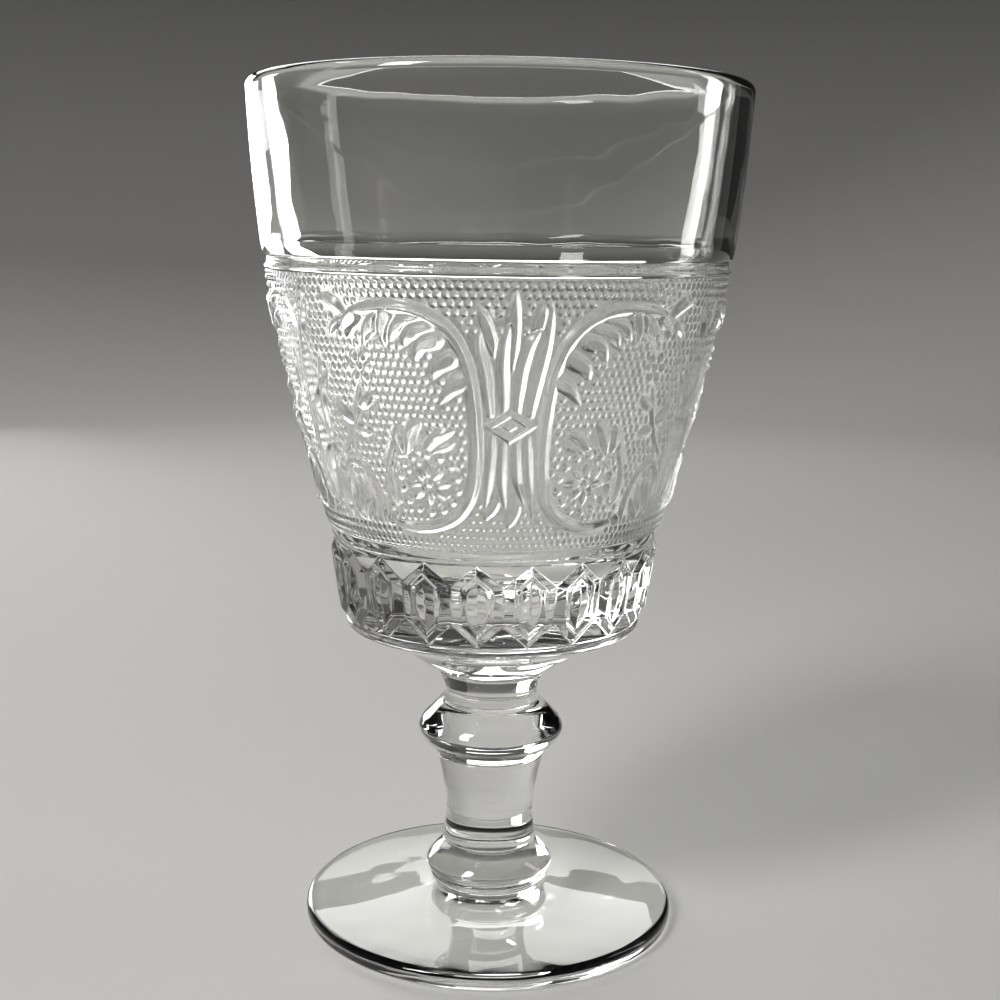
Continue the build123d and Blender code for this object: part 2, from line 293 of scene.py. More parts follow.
class Skin:
    """Closed surface collected patch by patch, with a finish number for each triangle."""

    def __init__(self):
        self.points, self.triangles, self.finishes, self.count = [], [], [], 0

    def add(self, triangles, finish, inward=False):
        """Keeps triangles with their finish, turned round where the patch faces inward."""
        self.triangles.append(triangles[:, ::-1] if inward else triangles)
        self.finishes.append(np.full(len(triangles), finish))

    def patch(self, grid, finish=GLASS, lift=None, closed=True, inward=False):
        """Adds a grid and returns its indices; a quad is cut along the diagonal whose lift changes less."""
        rows, columns = grid.shape[:2]
        index = self.count + np.arange(rows * columns).reshape(rows, columns)
        lift = np.zeros((rows, columns)) if lift is None else lift
        if closed and columns > 1:
            index = np.concatenate([index, index[:, :1]], 1)
            lift = np.concatenate([lift, lift[:, :1]], 1)
        self.points.append(grid.reshape(-1, 3))
        self.count += rows * columns
        a, b, c, d = index[:-1, :-1], index[:-1, 1:], index[1:, 1:], index[1:, :-1]
        rising = np.abs(lift[:-1, :-1] - lift[1:, 1:]) <= np.abs(lift[:-1, 1:] - lift[1:, :-1])
        one = np.where(rising[..., None], np.stack([a, b, c], -1), np.stack([a, b, d], -1))
        two = np.where(rising[..., None], np.stack([a, c, d], -1), np.stack([b, c, d], -1))
        self.add(np.concatenate([one.reshape(-1, 3), two.reshape(-1, 3)]), finish, inward)
        return index

    def sew(self, low, high, finish=GLASS):
        """Adds triangles between two chains of indices.

        The finer chain has a whole number of runs for each run of the coarser one.
        """
        if len(low) < len(high):
            self.add(self.fans(high, low), finish, True)
        else:
            self.add(self.fans(low, high), finish)

    @staticmethod
    def fans(fine, coarse):
        """Triangles between a fine and a coarse chain.

        Each fine run goes to the nearer end of its coarse run, and each coarse run to the fine point between.
        """
        if len(coarse) == 1:
            return np.stack([fine[:-1], fine[1:], np.full(len(fine) - 1, coarse[0])], -1)
        runs = len(coarse) - 1
        ratio = (len(fine) - 1) // runs
        step = np.arange(len(fine) - 1)
        nearer = step // ratio + (2 * (step % ratio) >= ratio)
        fan = np.stack([fine[:-1], fine[1:], coarse[nearer]], -1)
        between = fine[np.arange(runs) * ratio + (ratio + 1) // 2]
        return np.concatenate([fan, np.stack([between, coarse[1:], coarse[:-1]], -1)])

    def piece(self, name, materials):
        """Mesh object of the skin, smooth on its glass and flat on its joints."""
        points = np.concatenate(self.points) * MM
        triangles, finishes = np.concatenate(self.triangles), np.concatenate(self.finishes)
        mesh = bpy.data.meshes.new(name)
        mesh.vertices.add(len(points))
        mesh.vertices.foreach_set("co", points.ravel())
        mesh.loops.add(triangles.size)
        mesh.loops.foreach_set("vertex_index", triangles.ravel().astype(np.int32))
        mesh.polygons.add(len(triangles))
        mesh.polygons.foreach_set("loop_start", np.arange(0, triangles.size, 3, dtype=np.int32))
        for material in materials:
            mesh.materials.append(material)
        mesh.polygons.foreach_set("material_index", finishes.astype(np.int32))
        mesh.polygons.foreach_set("use_smooth", finishes == GLASS)
        mesh.update(calc_edges=True)
        mesh.validate()
        made = bpy.data.objects.new(name, mesh)
        bpy.context.scene.collection.objects.link(made)
        return made


# Pressed ornament of the lacy band

def band_radius(height):
    """Radius of the band's ground at a height: a straight taper with a parabola added."""
    t = (height - BAND_Z) / BAND_HEIGHT
    return BAND_LOW_RADIUS + (BAND_TOP_RADIUS - BAND_LOW_RADIUS) * t + 4 * BAND_SWELL * t * (1 - t)


def unrolled(places):
    """Places (angle from the sheaf, height) as lengths along the wall and up it."""
    places = np.asarray(places, float)
    return np.stack([np.radians(places[:, 0]) * band_radius(places[:, 1]), places[:, 1]], -1)


def nearest_on(path, across, up):
    """Distance of each place to a path of short straight runs, and the share of the path passed there."""
    start, run = path[:-1], np.diff(path, axis=0)
    from_start = np.stack([across, up], -1)[:, None, :] - start
    share = np.clip((from_start * run).sum(-1) / np.maximum((run**2).sum(-1), 1e-9), 0, 1)
    gap = np.linalg.norm(from_start - share[..., None] * run, axis=-1)
    best = gap.argmin(-1)[:, None]
    along = (best + np.take_along_axis(share, best, -1)) / len(run)
    return np.take_along_axis(gap, best, -1)[:, 0], along[:, 0]


class Relief:
    """Height of the ornament over the ground, and distance to the nearest outline, on a grid of places."""

    def __init__(self, across, up, height=None, edge=None):
        self.across, self.up = across, up
        self.height = np.zeros_like(across) if height is None else height
        self.edge = np.full_like(across, FAR) if edge is None else edge

    def raise_form(self, path, half_widths, height, slope, over=False, crest=CREST):
        """Lifts a form round a path: a hyperbola, straight at its sides and round at its crest.

        It is cut off at the height. A form laid over others is cut free of them by a narrow undercut.
        """
        reach = np.max(half_widths) + 2 * DOT_CLEAR + UNDERCUT
        low, high = path.min(0) - reach, path.max(0) + reach
        near = (self.across > low[0]) & (self.across < high[0]) & (self.up > low[1]) & (self.up < high[1])
        gap, along = nearest_on(path, self.across[near], self.up[near])
        half = np.interp(along, np.linspace(0, 1, len(half_widths)), half_widths)
        under = self.height[near] * (np.clip((gap - half) / UNDERCUT, 0, 1) if over else 1)
        rise = slope * (np.hypot(half, crest) - np.hypot(gap, crest))
        self.height[near] = np.maximum(under, np.clip(rise, 0, height))
        self.edge[near] = np.minimum(self.edge[near], gap - half)

    def rib(self, places, width, height=ORNAMENT, slope=STEEP, taper=0.3, over=False):
        """Raised band along a smooth curve, narrowed by the taper at both ends."""
        path = unrolled(through(places, 10 * len(places)))
        ends = np.abs(np.linspace(-1, 1, FORM_STEPS)) ** 6
        self.raise_form(path, width / 2 * (1 - taper * ends), height, slope, over)

    def blade(self, places, width, root=0.6, height=ORNAMENT, slope=STEEP, over=True, crest=CREST, taper=5):
        """Blade along a smooth curve: root times its width at the start, then wider, then a point.

        A low taper draws it to the point all along, and a high one only near its end.
        """
        path = unrolled(through(places, 8 * len(places)))
        t = np.linspace(0, 1, FORM_STEPS)
        swell = (root + (1 - root) * np.sin(np.pi * np.minimum(t / 1.2, 0.5))) * (1 - t**taper) ** 0.7
        self.raise_form(path, width / 2 * swell, height, slope, over, crest)

    def leaf(self, root, tip, width, bow=0.0, height=ORNAMENT, slope=SLOPE, over=False):
        """Leaf pointed at both ends along a quadratic curve, bowed to its left by a share of its length."""
        ends = unrolled([root, tip])
        run = ends[1] - ends[0]
        middle = ends.mean(0) + bow * np.array([-run[1], run[0]])
        t = np.linspace(0, 1, 14)[:, None]
        path = (1 - t) ** 2 * ends[0] + 2 * t * (1 - t) * middle + t**2 * ends[1]
        t = np.linspace(0, 1, FORM_STEPS)
        self.raise_form(path, width / 2 * np.sin(np.pi * t**0.85) ** 0.8, height, slope, over)

    def boss(self, place, radius, height=ORNAMENT, slope=STEEP, over=True):
        """Round knob with a flat top."""
        spot = unrolled([place])
        self.raise_form(np.vstack([spot, spot + 0.01]), np.array([radius, radius]), height, slope, over)

    def flower(self, place, petals, inner, outer, petal_width, turn=0.0):
        """Petals that run out from round a place, as leaves from the inner to the outer radius."""
        degrees_per_mm = np.degrees(1 / band_radius(place[1]))
        for angle in np.radians(turn) + np.arange(petals) * 2 * np.pi / petals:
            way = np.array([np.sin(angle) * degrees_per_mm, np.cos(angle)])
            self.leaf(place + inner * way, place + outer * way, petal_width, slope=STEEP)

    def ring_of_bosses(self, place, count, ring_radius, radius, height):
        """Round knobs evenly spaced on a circle."""
        degrees_per_mm = np.degrees(1 / band_radius(place[1]))
        for angle in np.arange(count) * 2 * np.pi / count:
            way = np.array([np.sin(angle) * degrees_per_mm, np.cos(angle)])
            self.boss(place + ring_radius * way, radius, height)


# Places on the lacy band: degrees round from the sheaf, and height
SCROLL_LINE = [
    (33.5, 79.4), (27, 78.9), (20, 79.6), (14.6, 81.3), (11.0, 84.2), (9.3, 88),
    (8.7, 92), (8.8, 96), (9.2, 100), (9.9, 104), (11.2, 107.3), (13.4, 110.4),
    (16.9, 112.9), (22.2, 114.6), (28, 115.1), (36, 114.5), (42, 112.8),
]
SCROLL_FLANK = slice(4, 12)
FRINGE = [
    [(38.5, 113.4), (40.8, 112.0), (42.0, 109.6)],
    [(30.4, 113.5), (34.5, 111.6), (36.8, 108.8)],
    [(29.6, 113.8), (30.6, 111.3), (30.7, 108.7)],
    [(22.5, 112.6), (26.8, 112.1), (29.6, 109.5)],
    [(20.1, 111.6), (24.1, 111.0), (26.1, 108.9)],
    [(18.1, 110.0), (21.2, 109.2), (23.5, 106.6)],
    [(14.4, 107.2), (17.6, 105.9), (19.5, 103.8)],
    [(11.6, 103.7), (14.1, 102.7), (18.1, 99.8)],
]


def scroll(relief):
    """C-scroll that opens away from the sheaf, with a fringe of comma leaves along its inner side."""
    relief.leaf((41.0, 113.0), (51.0, 115.8), width=2.4, bow=0.3)
    relief.leaf((41.5, 112.6), (47.5, 109.8), width=2.0, bow=0.3)
    for places in FRINGE:
        relief.blade(places, FRINGE_WIDTH, root=0.9, taper=1.8)
    relief.rib(SCROLL_LINE, SCROLL_WIDTH, taper=0.4)


ROSETTE = np.array([22.4, 86.7])
ROSETTE_ARCH = [(29.9, 95.9), (31.2, 93.1), (33.3, 89.9), (34.7, 87.3), (34.6, 84.6), (33.2, 82.6)]
CRESCENT_STALK = [(31.6, 91.0), (26, 92.0), (21.4, 92.3), (17.2, 92.8), (14.6, 93.6)]
SCROLL_END = (36.4, 79.7)
CRESCENTS = [
    [(29.1, 92.2), (29.8, 94.2), (29.0, 96.6)],
    [(27.2, 92.1), (25.9, 95.2), (22.7, 97.7)],
    [(22.2, 92.3), (18.8, 94.6), (14.0, 95.9)],
]


def rosette(relief):
    """Round flower in the foot of the scroll, under an arch that carries three crescent leaves."""
    relief.rib(ROSETTE_ARCH, ARCH_WIDTH, taper=0.5)
    relief.rib(CRESCENT_STALK, ARCH_WIDTH, taper=0.6)
    for places in CRESCENTS:
        relief.blade(places, CRESCENT_WIDTH)
    relief.ring_of_bosses(ROSETTE, count=14, ring_radius=4.9, radius=0.8, height=LOW_ORNAMENT)
    relief.flower(ROSETTE, petals=8, inner=0.5, outer=4.0, petal_width=1.8)
    relief.boss(ROSETTE, radius=0.9)
    relief.boss(SCROLL_END, radius=1.0)


BLOSSOM = np.array([39.0, 105.4])
BLOSSOM_STALK = [(40.0, 102.0), (41.6, 98.0), (45.0, 93.6), (50.4, 90.2)]


def blossom(relief):
    """Daisy on a curved stem in the mouth of the scroll."""
    relief.rib(BLOSSOM_STALK, STALK_WIDTH, LOW_ORNAMENT, taper=0.5)
    relief.flower(BLOSSOM, petals=6, inner=0.7, outer=3.0, petal_width=1.6, turn=30)
    relief.boss(BLOSSOM, radius=0.8)
    relief.leaf((41.4, 98.8), (35.6, 101.4), SIDE_LEAF_WIDTH, bow=0.2)
    relief.leaf((43.4, 95.4), (37.4, 94.8), SIDE_LEAF_WIDTH, bow=0.2)
    relief.leaf((43.0, 96.0), (49.4, 99.8), SIDE_LEAF_WIDTH, bow=-0.2)


SHELL_ARCH = [
    (38.6, 79.4), (38.9, 83.6), (41.6, 87.6), (46, 89.0), (50.4, 87.6), (53.0, 83.6), (53.3, 79.4),
]
SHELL_ROOT = (46, 78.8)
SHELL_TIPS = [(41.2, 83.4), (43.4, 86.0), (46, 87.0), (48.6, 86.0), (50.8, 83.4)]


def shell(relief):
    """Arched shell at the foot of the panel, with rays."""
    relief.rib(SHELL_ARCH, ARCH_WIDTH, taper=0.2)
    for tip in SHELL_TIPS:
        relief.leaf(SHELL_ROOT, tip, RAY_WIDTH, slope=STEEP)


LANCET_STALK = [(55.6, 80.4), (54.8, 90), (55.4, 99), (53.4, 106.2)]


def lancet(relief):
    """Tall pointed leaf with side leaves, where one panel meets the next."""
    relief.leaf((60, 80.5), (60, 112.5), LANCET_WIDTH, height=LANCET_HEIGHT, slope=LANCET_SLOPE)
    relief.rib(LANCET_STALK, STALK_WIDTH, LOW_ORNAMENT, taper=0.6)
    relief.leaf((55.2, 97.0), (50.4, 104.8), width=2.0, bow=-0.2)
    relief.leaf((58.0, 109.0), (54.4, 116.4), width=2.0, bow=-0.2)


BACK_BLADES = [
    [(0.2, 106.0), (0.0, 112.0), (0.3, 118.0)],
    [(-3.6, 107.4), (-5.6, 111.4), (-7.6, 115.7)],
    [(3.8, 107.4), (5.8, 111.4), (6.9, 115.9)],
    [(-2.4, 86.0), (-4.2, 83.4), (-6.4, 80.8)],
    [(3.0, 86.0), (2.0, 82.6), (0.4, 79.4)],
]
UPPER_BLADES = [
    [(-5.0, 98.4), (-5.6, 101.5), (-6.4, 105.4), (-7.6, 109.0), (-7.5, 112.2)],
    [(5.0, 98.4), (5.6, 101.5), (6.8, 106.2), (8.0, 110.6), (8.7, 115.8)],
    [(-1.6, 99.0), (-1.9, 102.5), (-2.2, 106.6), (-1.8, 109.8), (-0.8, 112.8)],
    [(1.6, 99.0), (1.9, 102.5), (2.6, 106.6), (4.2, 109.8), (6.3, 112.0)],
]
LOWER_BLADES = [
    [(-4.6, 94.8), (-4.6, 91.9), (-5.3, 87.7), (-6.2, 82.8)],
    [(4.6, 94.8), (4.9, 91.9), (5.7, 87.7), (8.0, 80.0)],
    [(-1.6, 94.4), (-1.8, 90.5), (-1.7, 86.8), (-0.4, 82.6)],
    [(1.7, 94.4), (2.0, 90.5), (2.7, 87.2), (4.8, 83.4)],
]


def sheaf(relief):
    """Bundle of ridged blades drawn in by a diamond tie, with back leaves that show between their points."""
    for places in BACK_BLADES:
        relief.blade(places, BACK_BLADE_WIDTH, root=0.5, height=LOW_ORNAMENT, slope=SLOPE, crest=SHARP_CREST)
    for places in UPPER_BLADES:
        relief.blade(places, BLADE_WIDTH, slope=SLOPE, crest=SHARP_CREST)
    for places in LOWER_BLADES:
        relief.blade(places, LOWER_BLADE_WIDTH, slope=SLOPE, crest=SHARP_CREST)
    share = np.abs(relief.across) / TIE_HALF_WIDTH + np.abs(relief.up - TIE_LEVEL) / TIE_HALF_HEIGHT
    steps = np.interp(share, TIE_SHARES, TIE_STEPS)
    relief.height = np.where(share < TIE_END, steps * ORNAMENT, relief.height)
    relief.edge = np.minimum(relief.edge, (share - 1) * TIE_HALF_HEIGHT)


def stipple(clear):
    """Staggered small domes on the ground, each a paraboloid.

    A dome is left out where its middle is near an ornament.
    """
    rows, columns = clear.shape
    row, column = np.meshgrid(np.arange(rows), np.arange(columns), indexing="ij")
    dot_row = np.rint(row / DOT_ROW_STEPS).astype(int)
    shift = dot_row % 2 * (DOT_COLUMN_STEPS // 2)
    middle_column = np.rint((column - shift) / DOT_COLUMN_STEPS).astype(int) * DOT_COLUMN_STEPS + shift
    middle_row = dot_row * DOT_ROW_STEPS
    sideways = (column - middle_column) / (DOT_COLUMN_STEPS / 2)
    upward = (row - middle_row) / (DOT_ROW_STEPS / 2)
    dome = np.clip(1 - DOT_FALL_ACROSS * sideways**2 - DOT_FALL_UP * upward**2, 0, 1)
    free = clear[middle_row, np.mod(middle_column, columns - 1)] > DOT_CLEAR
    return DOT * dome * free


def lacy_relief():
    """Relief of one panel: its mirrored half, the sheaf over it, and stipple on the ground that is left."""
    height = np.linspace(BAND_Z, BEAD_Z, PANEL_ROWS + 1)
    degrees = np.linspace(-180 / PANELS, 180 / PANELS, PANEL_COLUMNS + 1)
    up, angle = np.meshgrid(height, degrees, indexing="ij")
    across = np.radians(angle) * band_radius(up)
    right = slice(PANEL_COLUMNS // 2, None)
    half = Relief(across[:, right], up[:, right])
    for motif in (lancet, shell, blossom, rosette, scroll):
        motif(half)
    whole = Relief(
        across, up,
        np.concatenate([half.height[:, :0:-1], half.height], 1),
        np.concatenate([half.edge[:, :0:-1], half.edge], 1),
    )
    sheaf(whole)
    scroll_angle, scroll_height = np.transpose(SCROLL_LINE[SCROLL_FLANK])
    beside_sheaf = np.abs(angle) < np.interp(up, scroll_height, scroll_angle, 0, 0)
    whole.edge[beside_sheaf] = 0
    lift = np.maximum(whole.height, stipple(whole.edge))
    margin = np.minimum(np.arange(PANEL_ROWS + 1), np.arange(PANEL_ROWS + 1)[::-1])
    return height, degrees, lift * np.clip(margin / 2, 0, 1)[:, None]


# Finishes

def node(tree, kind, **inputs):
    """New shader node with values or links for its named inputs."""
    made = tree.nodes.new(kind)
    for name, value in inputs.items():
        socket = made.inputs[name.replace("_", " ")]
        if isinstance(value, bpy.types.NodeSocket):
            tree.links.new(value, socket)
        else:
            socket.default_value = value
    return made


def mould_skin_group():
    """Shared finish of pressed glass: faint waves left by the mould and a film of handling marks."""
    group = bpy.data.node_groups.new("mould_skin", "ShaderNodeTree")
    for name, value in (("Wave Scale", 60.0), ("Mark Scale", 400.0), ("Polish", 0.0), ("Marks", 0.05)):
        group.interface.new_socket(name, in_out="INPUT", socket_type="NodeSocketFloat").default_value = value
    group.interface.new_socket("Roughness", in_out="OUTPUT", socket_type="NodeSocketFloat")
    group.interface.new_socket("Waves", in_out="OUTPUT", socket_type="NodeSocketFloat")
    group.interface.new_socket("Tint", in_out="OUTPUT", socket_type="NodeSocketColor")
    given = group.nodes.new("NodeGroupInput").outputs
    place = group.nodes.new("ShaderNodeTexCoord").outputs["Object"]
    waves, marks = (
        node(group, "ShaderNodeTexNoise", Vector=place, Scale=given[scale], Detail=detail).outputs["Fac"]
        for scale, detail in (("Wave Scale", 1.0), ("Mark Scale", 4.0))
    )
    film = node(
        group, "ShaderNodeMapRange", Value=marks, From_Min=0.45, From_Max=0.75, To_Min=given["Polish"],
        To_Max=given["Marks"],
    )
    tint = group.nodes.new("ShaderNodeMix")
    tint.data_type = "RGBA"
    group.links.new(waves, tint.inputs["Factor"])
    tint.inputs["A"].default_value = CLEAR_TINT
    tint.inputs["B"].default_value = GREENER_TINT
    out = group.nodes.new("NodeGroupOutput").inputs
    group.links.new(film.outputs["Result"], out["Roughness"])
    group.links.new(waves, out["Waves"])
    group.links.new(tint.outputs["Result"], out["Tint"])
    return group


def glass(name, skin, wave_scale, mark_scale, polish, marks, wave_depth):
    """Clear glass that casts a pale shadow; its roughness, tint and waves come from the mould skin."""
    material = bpy.data.materials.new(name)
    material.use_nodes = True
    tree = material.node_tree
    shader = tree.nodes["Principled BSDF"]
    shader.inputs["Transmission Weight"].default_value = 1.0
    shader.inputs["IOR"].default_value = GLASS_IOR
    film = tree.nodes.new("ShaderNodeGroup")
    film.node_tree = skin
    for socket, value in (
        ("Wave Scale", wave_scale), ("Mark Scale", mark_scale), ("Polish", polish), ("Marks", marks)
    ):
        film.inputs[socket].default_value = value
    tree.links.new(film.outputs["Tint"], shader.inputs["Base Color"])
    tree.links.new(film.outputs["Roughness"], shader.inputs["Roughness"])
    waves = film.outputs["Waves"]
    bump = node(tree, "ShaderNodeBump", Height=waves, Strength=WAVE_STRENGTH, Distance=wave_depth)
    tree.links.new(bump.outputs["Normal"], shader.inputs["Normal"])
    pale_shadow = node(tree, "ShaderNodeBsdfTransparent", Color=SHADOW_TINT)
    either = tree.nodes.new("ShaderNodeMixShader")
    tree.links.new(tree.nodes.new("ShaderNodeLightPath").outputs["Is Shadow Ray"], either.inputs["Fac"])
    tree.links.new(shader.outputs["BSDF"], either.inputs[1])
    tree.links.new(pale_shadow.outputs["BSDF"], either.inputs[2])
    tree.links.new(either.outputs["Shader"], tree.nodes["Material Output"].inputs["Surface"])
    return material


def joint_finish():
    """Inside of a fused joint, where one piece of glass runs into the next and nothing shows."""
    material = bpy.data.materials.new("fused_joint")
    material.use_nodes = True
    tree = material.node_tree
    tree.nodes.remove(tree.nodes["Principled BSDF"])
    clear = tree.nodes.new("ShaderNodeBsdfTransparent")
    tree.links.new(clear.outputs["BSDF"], tree.nodes["Material Output"].inputs["Surface"])
    return material


mould_skin = mould_skin_group()
fused_joint = joint_finish()
bowl_glass = glass(
    "bowl_glass", mould_skin, wave_scale=70.0, mark_scale=420.0, polish=0.0, marks=0.05, wave_depth=0.0004
)
lace_glass = glass(
    "lace_glass", mould_skin, wave_scale=90.0, mark_scale=900.0, polish=0.16, marks=0.26, wave_depth=0.0002
)
stem_glass = glass(
    "stem_glass", mould_skin, wave_scale=110.0, mark_scale=500.0, polish=0.0, marks=0.03, wave_depth=0.0003
)
foot_glass = glass(
    "foot_glass", mould_skin, wave_scale=80.0, mark_scale=600.0, polish=0.0, marks=0.07, wave_depth=0.0004
)


# Pieces

def dress(piece, node_name):
    """Lets a piece ride on the goblet's one body and stand for its solid."""
    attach(piece, "root")
    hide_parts(node_name)


def cap(skin, ring, outline_point, height, finish, below=False):
    """Closes a ring with a flat: a narrow rim just inside it, then a fan to the axis."""
    radius, level = outline_point
    inner = skin.patch(lathe([(CAP_RIM_SHARE * radius, level)], PLAIN_COLUMNS), finish)[0]
    point = skin.patch(pole(height), finish)[0]
    chain = [point, inner, ring] if below else [ring, inner, point]
    skin.sew(chain[0], chain[1], finish)
    skin.sew(chain[1], chain[2], finish)


def turned_piece(name, outline, low, high, material, finish_below=JOINT):
    """Turned piece: a flat or hollow below, the outline carried round, and a fused flat above."""
    skin = Skin()
    side = skin.patch(lathe(outline, PLAIN_COLUMNS))
    cap(skin, side[0], outline[0], low, finish_below, below=True)
    cap(skin, side[-1], outline[-1], high, JOINT)
    dress(skin.piece(name, [material, fused_joint]), name)


def make_foot():
    """Disc with a rounded edge and a gently rising top, hollow inside the ring that it stands on.

    The hollow's height falls from the middle as a parabola raised to a power, so that it meets the ring flat.
    """
    inner = FOOT_RADIUS - REST_RING - FOOT_ROUND
    reach = np.linspace(0.5, inner, 14)
    hollow = np.stack([reach, FOOT_HOLLOW * (1 - (reach / inner) ** 2) ** 1.5], -1)
    slope_end = (COLLAR_SEAT_RADIUS + FOOT_RISE_REACH, FOOT_TOP - FOOT_RISE)
    rise_middle = (COLLAR_SEAT_RADIUS + FOOT_RISE_MIDDLE_REACH, FOOT_TOP - FOOT_RISE_MIDDLE)
    ring_start = (inner + REST_RING_STEP, 0)
    edge = rounded([ring_start, (FOOT_RADIUS, 0), (FOOT_RADIUS, FOOT_EDGE), slope_end], FOOT_ROUND, 9)
    top = through([slope_end, rise_middle, (COLLAR_SEAT_RADIUS, FOOT_TOP)], 8)
    outline = np.vstack([hollow, edge, top[1:]])
    turned_piece("foot", outline, FOOT_HOLLOW, FOOT_TOP, foot_glass, GLASS)


def make_base_collar():
    """Cushion with a sloping shoulder and one fine groove."""
    base = FOOT_TOP
    groove_radius = (COLLAR_SEAT_RADIUS + COLLAR_RADIUS) / 2
    groove_low = base + COLLAR_GROOVE_UP
    outline = rounded(
        [(COLLAR_SEAT_RADIUS, base),
         (groove_radius, groove_low),
         (groove_radius - COLLAR_GROOVE_DEPTH, groove_low + COLLAR_GROOVE_WIDTH / 2),
         (groove_radius + COLLAR_GROOVE_LIP, groove_low + COLLAR_GROOVE_WIDTH),
         (COLLAR_RADIUS, base + COLLAR_SHOULDER - COLLAR_SHOULDER_LOW),
         (COLLAR_RADIUS - COLLAR_SHOULDER_STEP, base + COLLAR_SHOULDER + COLLAR_SHOULDER_HIGH),
         (SHANK_BASE_RADIUS, COLLAR_TOP)],
        COLLAR_ROUNDS, 5,
    )
    turned_piece("base_collar", outline, base, COLLAR_TOP, stem_glass)


def make_shank():
    """Waisted grip."""
    waist = (SHANK_WAIST_RADIUS, COLLAR_TOP + SHANK_WAIST_UP)
    outline = through([(SHANK_BASE_RADIUS, COLLAR_TOP), waist, (SHANK_TOP_RADIUS, SHANK_TOP)], 26)
    turned_piece("shank", outline, COLLAR_TOP, SHANK_TOP, stem_glass)


def make_knop():
    """Two cones with a rounded edge between them."""
    crown = SHANK_TOP + KNOP_CROWN
    edge_low = (KNOP_RADIUS - KNOP_EDGE_DEPTH, crown - KNOP_EDGE_HEIGHT / 2)
    edge_high = (KNOP_RADIUS - KNOP_EDGE_DEPTH, crown + KNOP_EDGE_HEIGHT / 2)
    outline = np.vstack([
        straight((SHANK_TOP_RADIUS, SHANK_TOP), edge_low, 7)[:-1],
        through([edge_low, (KNOP_RADIUS, crown), edge_high], 11),
        straight(edge_high, (NECK_BASE_RADIUS, KNOP_TOP), 7)[1:],
    ])
    turned_piece("knop", outline, SHANK_TOP, KNOP_TOP, stem_glass)


def make_neck():
    """Short throat under the bowl."""
    throat = (NECK_THROAT_RADIUS, KNOP_TOP + NECK_THROAT_UP)
    outline = through([(NECK_BASE_RADIUS, KNOP_TOP), throat, (NECK_TOP_RADIUS, NECK_TOP)], 14)
    turned_piece("neck", outline, KNOP_TOP, NECK_TOP, stem_glass)


def diamond_band():
    """Grid of the diamond band: lozenges cut off where they meet, each a bevelled frame round a low pyramid.

    Lift follows the share of the way in from a lozenge's outline, up a bevel to the frame and down to a
    field; the pyramid's four faces rise from the field to the middle.
    """
    half = DIAMOND_ROWS // 2
    side = DIAMOND_SIDE_COLUMNS
    rows = np.abs(np.arange(DIAMOND_ROWS + 1) - half)[:, None]
    columns = np.abs(np.arange(DIAMOND_COLUMNS) % (2 * side) - side)
    inset = np.minimum(half - rows - columns, side - columns) / half
    frame_lift = np.interp(inset, [0, BEVEL_END, FRAME_END, FIELD_START], [0, 1, 1, FIELD])
    faces = PYRAMID_PEAK - columns / (PYRAMID_REACH * side) - rows / (PYRAMID_REACH * half)
    pyramid = FIELD + (1 - FIELD) * np.clip(faces, 0, 1)
    lift = FACET * np.where(inset < FIELD_START, frame_lift, np.maximum(frame_lift, pyramid))
    wall = straight((DIAMOND_LOW_RADIUS, DIAMOND_Z), (DIAMOND_TOP_RADIUS, LEDGE_Z), 2)
    height = LEDGE_Z - DIAMOND_Z
    share = np.linspace(DIAMOND_MARGIN, height - DIAMOND_TOP_MARGIN, DIAMOND_ROWS + 1)[:, None] / height
    ground = wall[0] + share * (wall[1] - wall[0])
    degrees = np.linspace(0, 360, DIAMOND_COLUMNS, endpoint=False)
    return turned_grid(ground[:, :1] + lift - DIAMOND_SINK, ground[:, 1:], degrees), lift


